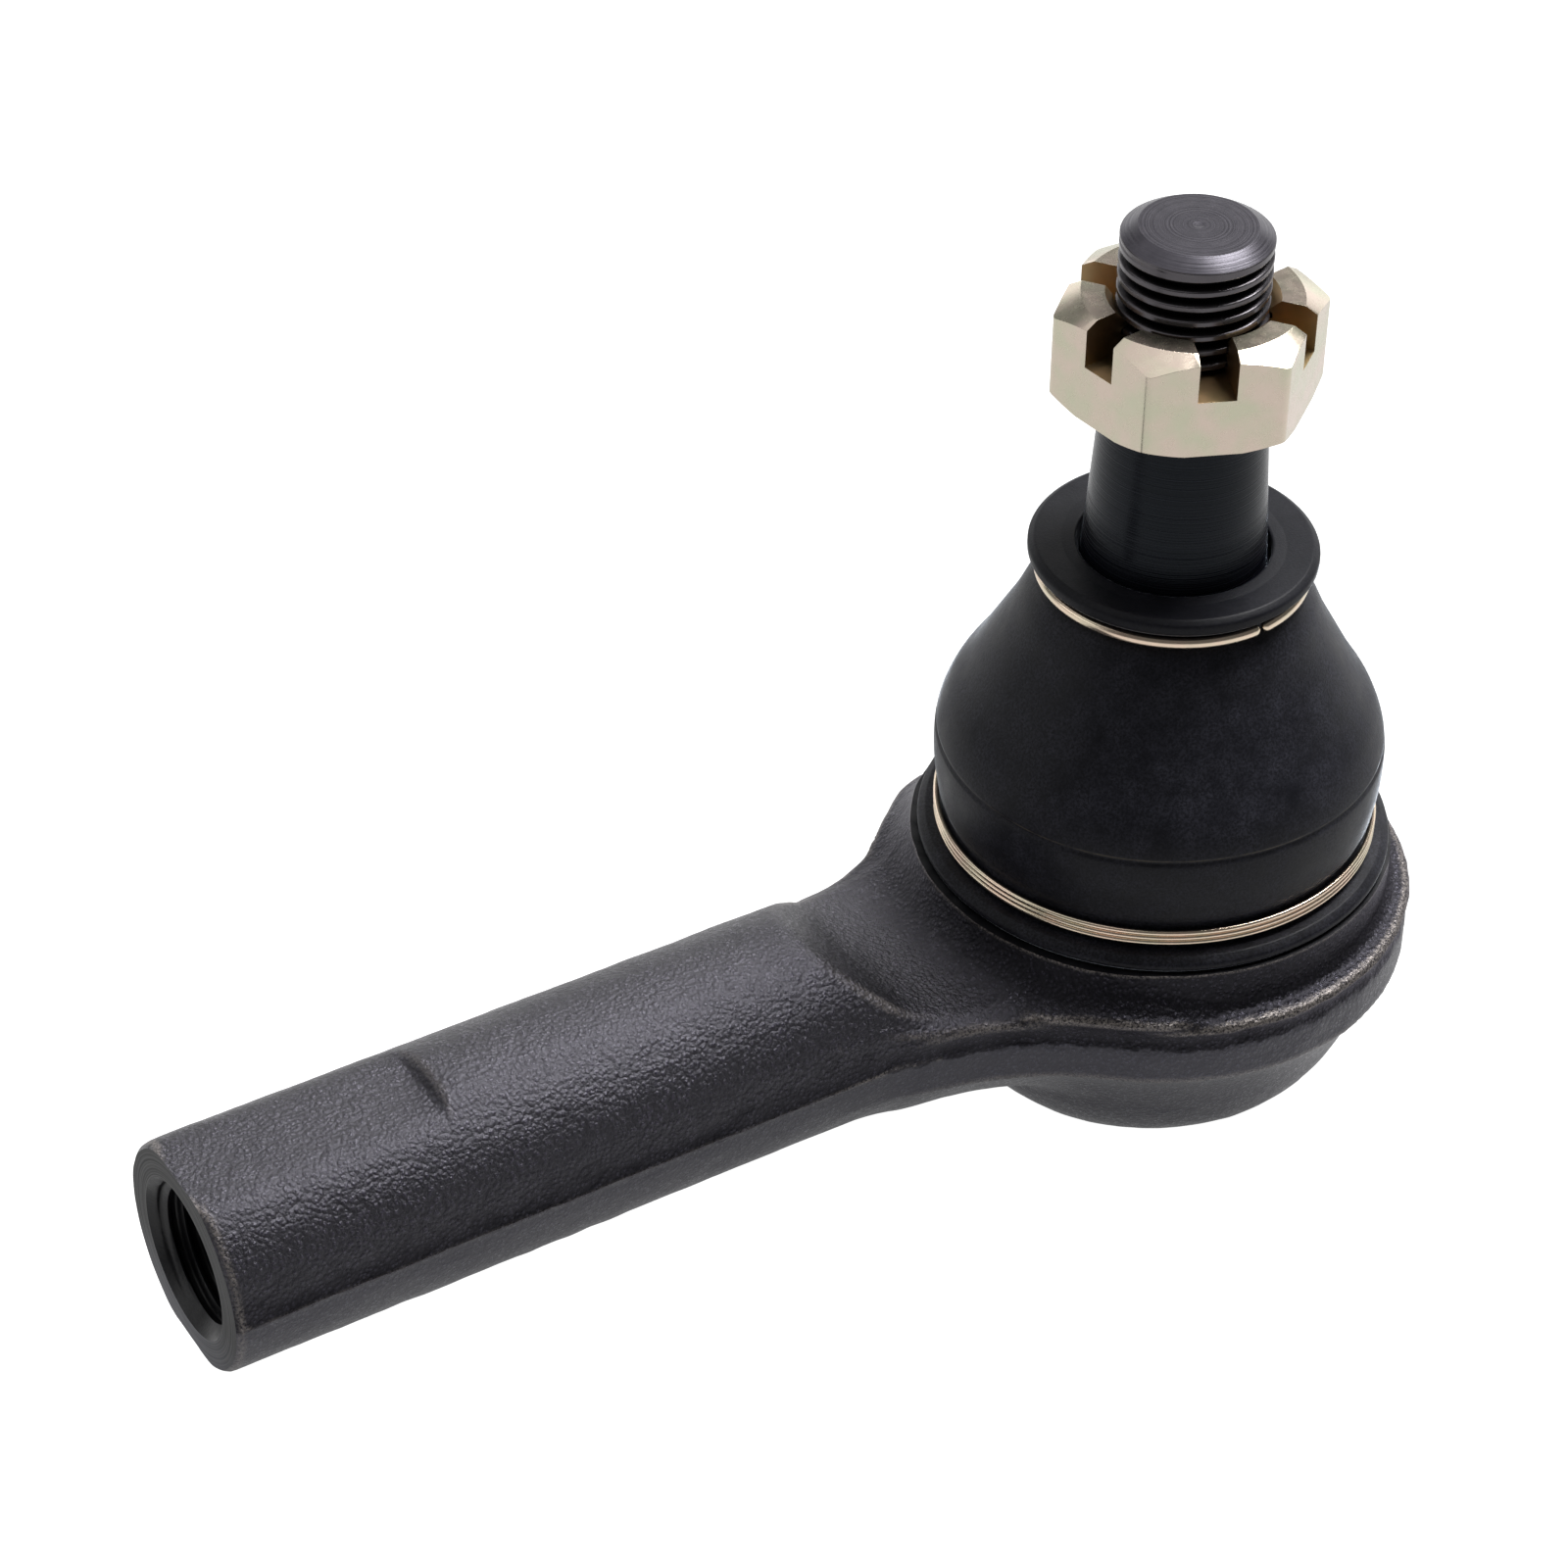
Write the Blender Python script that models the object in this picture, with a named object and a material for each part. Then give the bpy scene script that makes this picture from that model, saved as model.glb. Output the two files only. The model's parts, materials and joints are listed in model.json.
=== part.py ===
"""Outer tie rod end of a car's steering: a ball stud held in a forged socket with a threaded shank.

Frame: +Z runs up the stud's axis, the shank points along -X, and the origin is the centre
of the socket's flat base. Lengths below are millimetres, and MM turns them into metres.
"""
import math

import bmesh
import bpy
from mathutils import Matrix, Vector

MM = 0.001
GAP = 0.3                      # clearance kept between neighbouring pieces

# Driving dimensions
BALL_R = 13.0
BALL_Z = 22.0                  # the ball's centre lies on the shank's axis
STUD_TOP_Z = 96.2
THREAD_R = 6.9                 # M14 x 1.5 external thread, at its crests
THREAD_START_Z = 80.0
TIP_CHAMFER = (1.4, 0.85)      # width and height
TAPER_END_Z = 78.6
TAPER_SLOPE = 1.0 / 16.0       # radius lost per length: a 1:8 taper
SEAL_SEAT_R = 8.75             # plain collar of the stud that the boot's neck seals on
SEAL_SEAT_Z = (52.0, 61.6)
NECK_R = 6.5
PIN_HOLE_R = 1.6
PIN_HOLE_Z = 86.8
PIN_HOLE_TURN = -83.0          # degrees about +Z

NUT_ACROSS_FLATS = 22.0
NUT_Z = (79.2, 89.2)
NUT_TURN = 7.0                 # degrees from +X to the first flat's normal
NUT_SLOT_WIDTH = 3.5
NUT_SLOT_FLOOR_Z = 84.8
NUT_BORE_R = THREAD_R + GAP

SHANK_END_X = -103.6
SHANK_R = 10.9
SHANK_FLATS = 19.4             # across the two spanner flats
SHANK_FLAT_LENGTH = 24.4
BORE_R = 6.3                   # M14 x 1.5 internal thread, at its crests
BORE_DEPTH = 40.0
BORE_MOUTH_R = 7.7

BASE_R = 10.4                  # flat that the socket stands on
BASE_CONE_TOP_Z = 5.5
BOWL_R = 23.0
BOWL_Z = 19.6
FLANGE_R = 25.2
FLANGE_Z = (18.0, 24.4)
WEB_Z = (15.0, 18.0, 25.0)     # its sides are drafted up to the middle height
WEB_DRAFT = 2.7                # taken off each side at the lowest height
WEB_FILLET_R = 28.0            # plan fillet between the shank's sides and the flange
HUMP_X = (-31.5, -38.0)        # where the shank's upper half runs out into the web
COLLAR_R = 23.0
COLLAR_Z = 29.4
SPIGOT_R = 18.4
SPIGOT_TOP_Z = 33.8
CAVITY_R = 16.2
CAVITY_TAPER_Z = 12.75         # below this the cavity narrows like the cup inside it
SPRING_POCKET_R = 10.4
SPRING_POCKET_Z = (3.2, 5.6)
CUP_FLOOR_Z = 6.9
ROLLED_LIP_R = 14.2
ROLLED_LIP_Z = 32.6

BOOT_TOP_Z = 62.85
BOOT_WALL = 1.9
UPPER_RING_Z = 59.9
UPPER_RING_TURN = -85.0        # degrees about +Z, where the ring is open
LOWER_RING_Z = 32.4
LOWER_RING_TURN = 150.0        # degrees about +Z, where the wire starts


# Mesh helpers

def material(name, colour, roughness, metallic):
    made = bpy.data.materials.new(name)
    made.use_nodes = True
    shader = made.node_tree.nodes["Principled BSDF"]
    shader.inputs["Base Color"].default_value = (*colour, 1.0)
    shader.inputs["Roughness"].default_value = roughness
    shader.inputs["Metallic"].default_value = metallic
    return made


def add_object(name, data, finish):
    obj = bpy.data.objects.new(name, data)
    bpy.context.scene.collection.objects.link(obj)
    data.materials.append(finish)
    return obj


def object_from_bmesh(name, bm, finish, sharp_degrees=35.0):
    bmesh.ops.recalc_face_normals(bm, faces=bm.faces)
    mesh = bpy.data.meshes.new(name)
    bm.to_mesh(mesh)
    bm.free()
    mesh.shade_smooth()
    mesh.set_sharp_from_angle(angle=math.radians(sharp_degrees))
    return add_object(name, mesh, finish)


def turned(name, outline, finish, segments=36, closed=False, axis=None, centre=None):
    """Turn an outline of (radius, height) points about +Z, or about another axis."""
    bm = bmesh.new()
    ring = [bm.verts.new(Vector((radius, 0.0, height)) * MM) for radius, height in outline]
    pairs = list(zip(ring, ring[1:]))
    if closed:
        pairs.append((ring[-1], ring[0]))
    edges = [bm.edges.new(pair) for pair in pairs]
    bmesh.ops.spin(bm, geom=ring + edges, cent=(0, 0, 0), axis=(0, 0, 1), angle=math.tau,
                   steps=segments, use_merge=True)
    bmesh.ops.remove_doubles(bm, verts=bm.verts, dist=0.001 * MM)
    if axis is not None:
        bm.transform(Vector(axis).to_track_quat("Z", "Y").to_matrix().to_4x4())
    if centre is not None:
        bm.transform(Matrix.Translation(Vector(centre) * MM))
    return object_from_bmesh(name, bm, finish)


def prism(name, outline, low, high, finish, axis="Z"):
    """Extrude a plane outline from low to high along Z, or along Y for an (x, z) outline."""
    bm = bmesh.new()
    if axis == "Z":
        corners = [bm.verts.new(Vector((a, b, low)) * MM) for a, b in outline]
        step = Vector((0, 0, high - low)) * MM
    else:
        corners = [bm.verts.new(Vector((a, low, b)) * MM) for a, b in outline]
        step = Vector((0, high - low, 0)) * MM
    face = bm.faces.new(corners)
    raised = bmesh.ops.extrude_face_region(bm, geom=[face])["geom"]
    bmesh.ops.translate(bm, vec=step, verts=[v for v in raised if isinstance(v, bmesh.types.BMVert)])
    return object_from_bmesh(name, bm, finish)


def loft(name, outlines, heights, finish):
    """A solid through plane outlines of equal point counts, each at its own height."""
    bm = bmesh.new()
    rows = []
    for outline, height in zip(outlines, heights):
        rows.append([bm.verts.new(Vector((x, y, height)) * MM) for x, y in outline])
    for low, high in zip(rows, rows[1:]):
        for index in range(len(low)):
            bm.faces.new((low[index - 1], low[index], high[index], high[index - 1]))
    bm.faces.new(rows[0])
    bm.faces.new(rows[-1])
    return object_from_bmesh(name, bm, finish)


def block(name, low, high, finish, turn=0.0):
    """A box between two corners, turned about +Z by a number of degrees."""
    outline = [(low[0], low[1]), (high[0], low[1]), (high[0], high[1]), (low[0], high[1])]
    obj = prism(name, outline, low[2], high[2], finish)
    obj.data.transform(Matrix.Rotation(math.radians(turn), 4, "Z"))
    return obj


def combine(target, tool, operation):
    """Join a tool to a target, or cut it away; the tool stays as a hidden guide."""
    modifier = target.modifiers.new(tool.name, "BOOLEAN")
    modifier.object = tool
    modifier.operation = operation
    modifier.solver = "EXACT"
    tool.hide_render = True
    tool.display_type = "WIRE"


def wire(name, point_at, steps, wire_radius, finish):
    """A round wire through point_at(0) .. point_at(1), with flat ends."""
    curve = bpy.data.curves.new(name, "CURVE")
    curve.dimensions = "3D"
    curve.bevel_depth = wire_radius * MM
    curve.bevel_resolution = 1
    curve.use_fill_caps = True
    spline = curve.splines.new("POLY")
    spline.points.add(steps)
    for index, point in enumerate(spline.points):
        point.co = (*(Vector(point_at(index / steps)) * MM), 1.0)
    spline.use_smooth = True
    return add_object(name, curve, finish)


def arc(centre, radius, start, end, steps):
    """Points on a circle in the (radius, height) plane, angles in degrees from +radius."""
    points = []
    for index in range(steps + 1):
        angle = math.radians(start + (end - start) * index / steps)
        points.append((centre[0] + radius * math.cos(angle), centre[1] + radius * math.sin(angle)))
    return points


def sphere_arc(radius, centre_z, low_z, high_z, steps):
    """Points up a sphere about the +Z axis, from one height to another."""
    start = math.degrees(math.asin((low_z - centre_z) / radius))
    end = math.degrees(math.asin((high_z - centre_z) / radius))
    return arc((0.0, centre_z), radius, start, end, steps)


# Housing: the forged socket, its web and its threaded shank

def web_outline(inset):
    """Plan of the flange and web: a circle joined to the shank's width by two fillets."""
    centre_y = SHANK_R + WEB_FILLET_R
    centre_x = -math.sqrt((FLANGE_R + WEB_FILLET_R) ** 2 - centre_y ** 2)
    meeting = math.degrees(math.atan2(centre_y, -centre_x))
    round_end = arc((0.0, 0.0), FLANGE_R - inset, -180.0 + meeting, 180.0 - meeting, 32)
    left_fillet = arc((centre_x, centre_y), WEB_FILLET_R + inset, -meeting, -90.0, 8)
    right_fillet = [(x, -y) for x, y in reversed(left_fillet)]
    neck_end = HUMP_X[1] - 2.0
    neck = SHANK_R - 0.1 - inset
    return round_end + left_fillet[1:] + [(neck_end, neck), (neck_end, -neck)] + right_fillet[:-1]


def socket_profile():
    bowl = sphere_arc(BOWL_R, BOWL_Z, BASE_CONE_TOP_Z, 15.4, 6)
    fillet_r = 3.0
    fillet = arc((COLLAR_R + fillet_r, FLANGE_Z[1] + fillet_r + 0.3), fillet_r, 225.0, 180.0, 4)
    chamfer = 0.8
    return (
        [(0.0, 0.0), (BASE_R, 0.0)] + bowl
        + [(FLANGE_R, FLANGE_Z[0]), (FLANGE_R, FLANGE_Z[1] - 0.3)] + fillet
        + [(COLLAR_R, COLLAR_Z), (SPIGOT_R, COLLAR_Z), (SPIGOT_R, SPIGOT_TOP_Z - chamfer),
           (SPIGOT_R - chamfer, SPIGOT_TOP_Z), (0.0, SPIGOT_TOP_Z)]
    )


def cavity_profile():
    above = SPIGOT_TOP_Z + 2.0
    pocket_floor, pocket_top = SPRING_POCKET_Z
    return [
        (0.0, above), (ROLLED_LIP_R, above), (ROLLED_LIP_R, ROLLED_LIP_Z), (CAVITY_R, ROLLED_LIP_Z),
        (CAVITY_R, CAVITY_TAPER_Z), (SPRING_POCKET_R + 0.9, CUP_FLOOR_Z - 0.25),
        (SPRING_POCKET_R, pocket_top), (SPRING_POCKET_R, pocket_floor), (0.0, pocket_floor),
    ]


def shank_bore_profile():
    """The tapped hole, along its own axis from the mouth at 0 into the shank."""
    drill_tip = BORE_R / math.tan(math.radians(59.0))
    chamfer = BORE_MOUTH_R - BORE_R
    past_mouth = 1.0
    return [
        (0.0, -past_mouth), (BORE_MOUTH_R + past_mouth, -past_mouth), (BORE_R, chamfer),
        (BORE_R, BORE_DEPTH), (0.0, BORE_DEPTH + drill_tip),
    ]


def make_shank(finish):
    length = -SHANK_END_X - 8.0            # it ends inside the socket
    edge = 0.4
    outline = [(0.0, 0.0), (SHANK_R - edge, 0.0), (SHANK_R, edge), (SHANK_R, length), (0.0, length)]
    shank = turned("shank_tool", outline, finish, axis=(1, 0, 0), centre=(SHANK_END_X, 0, BALL_Z))
    far = 60.0
    run_out = [
        (HUMP_X[1], far), (HUMP_X[1], BALL_Z + SHANK_R), (HUMP_X[0], WEB_Z[2] - 0.2),
        (far, WEB_Z[2] - 0.2), (far, far),
    ]
    combine(shank, prism("hump_cutter", run_out, -far, far, finish, axis="Y"), "DIFFERENCE")
    flat_end = SHANK_END_X + SHANK_FLAT_LENGTH
    for side, name in ((1, "upper_flat_cutter"), (-1, "lower_flat_cutter")):
        heights = sorted((BALL_Z + side * SHANK_FLATS / 2, BALL_Z + side * far))
        cutter = block(name, (SHANK_END_X - far, -far, heights[0]), (flat_end, far, heights[1]), finish)
        combine(shank, cutter, "DIFFERENCE")
    return shank


def make_housing(finish):
    housing = turned("housing", socket_profile(), finish, segments=48)
    plans = [web_outline(WEB_DRAFT), web_outline(0.0), web_outline(0.0)]
    combine(housing, loft("web_tool", plans, WEB_Z, finish), "UNION")
    combine(housing, make_shank(finish), "UNION")
    combine(housing, turned("cavity_cutter", cavity_profile(), finish), "DIFFERENCE")
    bore = turned("bore_cutter", shank_bore_profile(), finish, segments=32, axis=(1, 0, 0),
                  centre=(SHANK_END_X, 0, BALL_Z))
    combine(housing, bore, "DIFFERENCE")


# Pieces inside the socket

def make_upper_ball_seat(finish):
    low, high = BALL_Z + 0.9, BALL_Z + 7.5
    outer = CAVITY_R - GAP
    inner = sphere_arc(BALL_R + GAP, BALL_Z, low, high, 4)
    turned("upper_ball_seat", inner + [(outer, high), (outer, low)], finish, closed=True)


def make_pressure_cup(finish):
    rim = BALL_Z - 0.6
    outer = CAVITY_R - GAP
    hole_r, base_r = 4.5, 11.0
    hole_z = BALL_Z - math.sqrt((BALL_R + GAP) ** 2 - hole_r ** 2)
    inner = sphere_arc(BALL_R + GAP, BALL_Z, hole_z, rim, 7)
    shell = [(outer, rim), (outer, CAVITY_TAPER_Z + 0.25), (base_r, CUP_FLOOR_Z), (hole_r, CUP_FLOOR_Z)]
    turned("pressure_cup", inner + shell, finish, closed=True)


def make_preload_spring(finish):
    wire_r, turns = 0.6, 2.2
    base_r, top_r = 9.2, 5.6
    low = SPRING_POCKET_Z[0] + GAP + wire_r
    high = CUP_FLOOR_Z - GAP - wire_r

    def point_at(t):
        radius = base_r + (top_r - base_r) * t
        angle = math.tau * turns * t
        return radius * math.cos(angle), radius * math.sin(angle), low + (high - low) * t

    wire("preload_spring", point_at, 48, wire_r, finish)


def make_closing_ring(finish):
    low, high = BALL_Z + 7.8, ROLLED_LIP_Z - GAP
    inner, outer = 12.2, CAVITY_R - GAP
    chamfer = 0.8
    section = [(inner, low), (outer, low), (outer, high), (inner + chamfer, high), (inner, high - chamfer)]
    turned("closing_ring", section, finish, closed=True)


# Ball stud and castle nut

def taper_radius(z):
    return SEAL_SEAT_R - 0.1 - (z - SEAL_SEAT_Z[1]) * TAPER_SLOPE


def stud_profile():
    flat_r = 4.0
    flat_z = BALL_Z - math.sqrt(BALL_R ** 2 - flat_r ** 2)
    neck_z = BALL_Z + math.sqrt(BALL_R ** 2 - NECK_R ** 2)
    ball = sphere_arc(BALL_R, BALL_Z, flat_z, neck_z, 12)
    flare = [(NECK_R, 42.0), (7.0, 45.0), (8.2, 49.5), (SEAL_SEAT_R, SEAL_SEAT_Z[0])]
    undercut_r = THREAD_R - 0.92
    tip_width, tip_height = TIP_CHAMFER
    mark_r, mark_depth = 1.1, 0.9
    return (
        [(0.0, flat_z)] + ball + flare
        + [(SEAL_SEAT_R, SEAL_SEAT_Z[1]), (taper_radius(SEAL_SEAT_Z[1] + 0.1), SEAL_SEAT_Z[1] + 0.1),
           (taper_radius(TAPER_END_Z), TAPER_END_Z), (undercut_r, TAPER_END_Z + 0.5),
           (undercut_r, THREAD_START_Z - 0.6), (THREAD_R, THREAD_START_Z + 0.3),
           (THREAD_R, STUD_TOP_Z - tip_height), (THREAD_R - tip_width, STUD_TOP_Z),
           (mark_r, STUD_TOP_Z), (0.0, STUD_TOP_Z - mark_depth)]
    )


def make_ball_stud(finish):
    stud = turned("ball_stud", stud_profile(), finish)
    turn = math.radians(PIN_HOLE_TURN)
    along = Vector((math.cos(turn), math.sin(turn), 0.0))
    reach = THREAD_R + 3.0
    outline = [(0.0, 0.0), (PIN_HOLE_R, 0.0), (PIN_HOLE_R, 2 * reach), (0.0, 2 * reach)]
    hole = turned("pin_hole_cutter", outline, finish, segments=16, axis=along,
                  centre=Vector((0, 0, PIN_HOLE_Z)) - along * reach)
    combine(stud, hole, "DIFFERENCE")


def make_castle_nut(finish):
    low, high = NUT_Z
    corner_r = NUT_ACROSS_FLATS / 2 / math.cos(math.radians(30.0))
    corners = []
    for index in range(6):
        angle = math.radians(NUT_TURN + 30.0 + 60.0 * index)
        corners.append((corner_r * math.cos(angle), corner_r * math.sin(angle)))
    nut = prism("castle_nut", corners, low, high, finish)
    top_land, base_land = 10.0, 11.3
    slope = math.tan(math.radians(30.0))
    outer = corner_r + 0.5
    envelope = [
        (0.0, low - 0.5), (base_land - 0.5 / slope, low - 0.5), (outer, low + (outer - base_land) * slope),
        (outer, high - (outer - top_land) * slope), (top_land - 0.5 / slope, high + 0.5), (0.0, high + 0.5),
    ]
    combine(nut, turned("nut_chamfer_tool", envelope, finish), "INTERSECT")
    mouth = 0.9
    bore = [
        (0.0, low - 1.0), (NUT_BORE_R + mouth + 1.0, low - 1.0), (NUT_BORE_R, low + mouth),
        (NUT_BORE_R, high - mouth), (NUT_BORE_R + mouth + 1.0, high + 1.0), (0.0, high + 1.0),
    ]
    combine(nut, turned("nut_bore_cutter", bore, finish), "DIFFERENCE")
    for index in range(3):
        slot = block("nut_slot_cutter_%d" % (index + 1), (-20.0, -NUT_SLOT_WIDTH / 2, NUT_SLOT_FLOOR_Z),
                     (20.0, NUT_SLOT_WIDTH / 2, high + 5.0), finish, turn=NUT_TURN + 60.0 * index)
        combine(nut, slot, "DIFFERENCE")


# Dust boot and its two rings

def make_dust_boot(finish):
    seal_r = SPIGOT_R + GAP
    base_z = COLLAR_Z + GAP
    neck_r = SEAL_SEAT_R + GAP
    body = [(20.9, 34.6), (21.4, 38.0), (21.3, 41.5), (20.3, 44.5), (18.5, 47.5), (16.7, 50.6),
            (15.1, 53.6), (13.6, 56.6), (12.7, 58.6)]
    outer = (
        [(21.8, base_z), (22.2, base_z + 0.4), (22.2, base_z + 0.9), (21.7, base_z + 1.3),
         (20.5, base_z + 1.3), (20.5, 33.5)]
        + body
        + [(11.6, 59.0), (11.6, 60.8), (13.1, 61.1), (13.5, 61.5), (13.5, BOOT_TOP_Z - 0.5),
           (13.0, BOOT_TOP_Z)]
    )
    cavity = [(radius - BOOT_WALL, height) for radius, height in body[1:-1]]
    inner = (
        [(neck_r, BOOT_TOP_Z), (neck_r, 56.6)] + list(reversed(cavity))
        + [(seal_r + 0.3, 35.4), (seal_r, 34.3), (seal_r, base_z)]
    )
    turned("dust_boot", outer + inner, finish, closed=True)


def make_boot_upper_ring(finish):
    wire_r, mean_r, opening = 0.6, 12.5, 7.0

    def point_at(t):
        angle = math.radians(UPPER_RING_TURN + opening / 2 + (360.0 - opening) * t)
        return mean_r * math.cos(angle), mean_r * math.sin(angle), UPPER_RING_Z

    wire("boot_upper_ring", point_at, 44, wire_r, finish)


def make_boot_lower_ring(finish):
    wire_r, mean_r, pitch, turns = 0.35, 21.18, 0.78, 2.0

    def point_at(t):
        angle = math.radians(LOWER_RING_TURN) + math.tau * turns * t
        return mean_r * math.cos(angle), mean_r * math.sin(angle), LOWER_RING_Z + pitch * turns * (t - 0.5)

    wire("boot_lower_ring", point_at, 80, wire_r, finish)


def main():
    for obj in list(bpy.data.objects):
        bpy.data.objects.remove(obj, do_unlink=True)
    make_housing(material("forged_black", (0.026, 0.025, 0.029), 0.6, 0.5))
    make_upper_ball_seat(material("seat_plastic", (0.72, 0.70, 0.62), 0.45, 0.0))
    make_pressure_cup(material("cup_plastic", (0.70, 0.68, 0.60), 0.45, 0.0))
    make_preload_spring(material("spring_steel", (0.32, 0.31, 0.30), 0.35, 1.0))
    make_closing_ring(material("ring_steel", (0.20, 0.20, 0.21), 0.40, 1.0))
    make_ball_stud(material("stud_black_oxide", (0.045, 0.045, 0.055), 0.32, 0.9))
    make_castle_nut(material("nut_zinc", (0.66, 0.58, 0.44), 0.28, 1.0))
    make_dust_boot(material("boot_rubber", (0.012, 0.012, 0.014), 0.62, 0.0))
    make_boot_upper_ring(material("upper_ring_zinc", (0.66, 0.58, 0.46), 0.30, 1.0))
    make_boot_lower_ring(material("lower_ring_zinc", (0.66, 0.58, 0.46), 0.30, 1.0))


main()
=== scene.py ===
"""Looks of an outer tie rod end: fine meshes, procedural finishes, a pale studio and the camera.

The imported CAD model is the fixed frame. +Z runs up the stud's axis, the shank points along -X and
the origin is the centre of the socket's flat base. Lengths are millimetres, and MM makes metres.
"""
import json
import math

import bpy
import numpy as np
from mathutils import Matrix, Vector


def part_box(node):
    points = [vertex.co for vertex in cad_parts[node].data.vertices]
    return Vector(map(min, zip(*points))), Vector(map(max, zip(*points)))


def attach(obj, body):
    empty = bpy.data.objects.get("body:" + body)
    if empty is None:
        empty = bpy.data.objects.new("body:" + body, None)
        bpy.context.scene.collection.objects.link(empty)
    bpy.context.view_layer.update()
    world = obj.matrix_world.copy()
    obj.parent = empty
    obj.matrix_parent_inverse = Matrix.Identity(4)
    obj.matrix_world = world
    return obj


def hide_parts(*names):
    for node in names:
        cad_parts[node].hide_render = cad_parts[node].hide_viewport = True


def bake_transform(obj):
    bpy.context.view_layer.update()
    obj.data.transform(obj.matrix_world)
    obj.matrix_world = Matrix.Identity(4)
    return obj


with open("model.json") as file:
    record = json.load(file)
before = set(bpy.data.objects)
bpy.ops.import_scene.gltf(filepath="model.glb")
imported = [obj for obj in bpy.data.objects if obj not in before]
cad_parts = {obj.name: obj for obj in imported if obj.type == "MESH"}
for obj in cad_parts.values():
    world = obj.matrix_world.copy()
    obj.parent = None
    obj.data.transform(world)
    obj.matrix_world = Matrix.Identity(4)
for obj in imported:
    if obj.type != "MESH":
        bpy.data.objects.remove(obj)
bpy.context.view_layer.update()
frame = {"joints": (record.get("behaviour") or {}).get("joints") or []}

MM = 0.001


def span(node):
    """Lowest and highest corner of a CAD node, in millimetres."""
    low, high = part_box(node)
    return low / MM, high / MM


# Places read from the frame
SHANK_END_X = span("housing")[0].x
STUD_TOP_Z = span("ball_stud")[1].z
NUT_Z = (span("castle_nut")[0].z, span("castle_nut")[1].z)
BOOT_Z = (span("dust_boot")[0].z, span("dust_boot")[1].z)
BALL_Z = frame["joints"][0]["pos_m"][2] / MM
UPPER_RING_Z = sum(corner.z for corner in span("boot_upper_ring")) / 2
LOWER_RING_Z = sum(corner.z for corner in span("boot_lower_ring")) / 2

# Sizes the CAD model shares
BALL_R = 13.0
NECK_R = 6.5
TAPER_R, TAPER_Z = 8.65, 61.6  # the stud's taper at its wide end
RELIEF_R = 5.98                # the groove between the taper and the thread
THREAD_R = 6.9                 # at the crests
NUT_FLATS = 22.0
NUT_TURN = 7.0                 # degrees from +X to the middle of a flat
FLANGE_R = 25.2
SHANK_R = 10.9
COLLAR_R, COLLAR_Z = 23.0, 29.4
INNER_R = 15.9                 # outside of the pieces in the socket's bore
SEAT_R = BALL_R + 0.3          # inside of the seat and the cup, clear of the ball

# The thread that the CAD model leaves plain: M14 x 1.5
PITCH = 1.5
THREAD_ROOT_R = 5.95
THREAD_PHASE_Z = 89.16         # a crest's height at +X

# Lines that the dies and the mould left
PARTING_Z = 22.0               # where the two forging dies met
CREASE_Z = 41.4                # a mould line round the boot


# Plane outlines

def rounded(corners, loop=False, steps=5):
    """A (radius, height) outline from (radius, height, fillet) corners, each fillet an arc."""
    points = []
    count = len(corners)
    for index, (radius, height, fillet) in enumerate(corners):
        here = Vector((radius, height))
        if fillet == 0.0 or (not loop and index in (0, count - 1)):
            points.append((radius, height))
            continue
        before = Vector(corners[index - 1][:2]) - here
        after = Vector(corners[(index + 1) % count][:2]) - here
        half = before.angle(after) / 2
        reach = min(fillet / math.tan(half), before.length * 0.49, after.length * 0.49)
        size = reach * math.tan(half)
        middle = (before.normalized() + after.normalized()).normalized()
        centre = here + middle * (size / math.sin(half))
        start = here + before.normalized() * reach - centre
        end = here + after.normalized() * reach - centre
        sweep = start.angle_signed(end)
        for step in range(steps + 1):
            turn = -sweep * step / steps
            x = start.x * math.cos(turn) - start.y * math.sin(turn)
            y = start.x * math.sin(turn) + start.y * math.cos(turn)
            points.append((centre.x + x, centre.y + y))
    return points


def flowing(knots, steps):
    """A smooth curve through its knots (Catmull-Rom)."""
    padded = [knots[0]] + list(knots) + [knots[-1]]
    points = []
    for index in range(1, len(padded) - 2):
        p0, p1, p2, p3 = (np.array(p) for p in padded[index - 1:index + 3])
        for step in range(steps):
            t = step / steps
            blend = 2 * p1 + (p2 - p0) * t + (2 * p0 - 5 * p1 + 4 * p2 - p3) * t ** 2
            points.append(tuple((blend + (3 * p1 - p0 - 3 * p2 + p3) * t ** 3) / 2))
    return points + [tuple(knots[-1])]


def sphere_arc(radius, centre_z, low_z, high_z, steps):
    """Points up a sphere about the +Z axis, from one height to another."""
    start = math.asin((low_z - centre_z) / radius)
    end = math.asin((high_z - centre_z) / radius)
    angles = np.linspace(start, end, steps + 1)
    return [(radius * math.cos(a), centre_z + radius * math.sin(a)) for a in angles]


# Meshes

def make_object(name, vertices, faces, finishes, sharp_degrees=40.0):
    """A smooth-shaded object from vertices in millimetres."""
    mesh = bpy.data.meshes.new(name)
    mesh.from_pydata((np.asarray(vertices) * MM).tolist(), [], faces)
    mesh.validate()
    for finish in finishes:
        mesh.materials.append(finish)
    mesh.shade_smooth()
    mesh.set_sharp_from_angle(angle=math.radians(sharp_degrees))
    obj = bpy.data.objects.new(name, mesh)
    bpy.context.scene.collection.objects.link(obj)
    return obj


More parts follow.
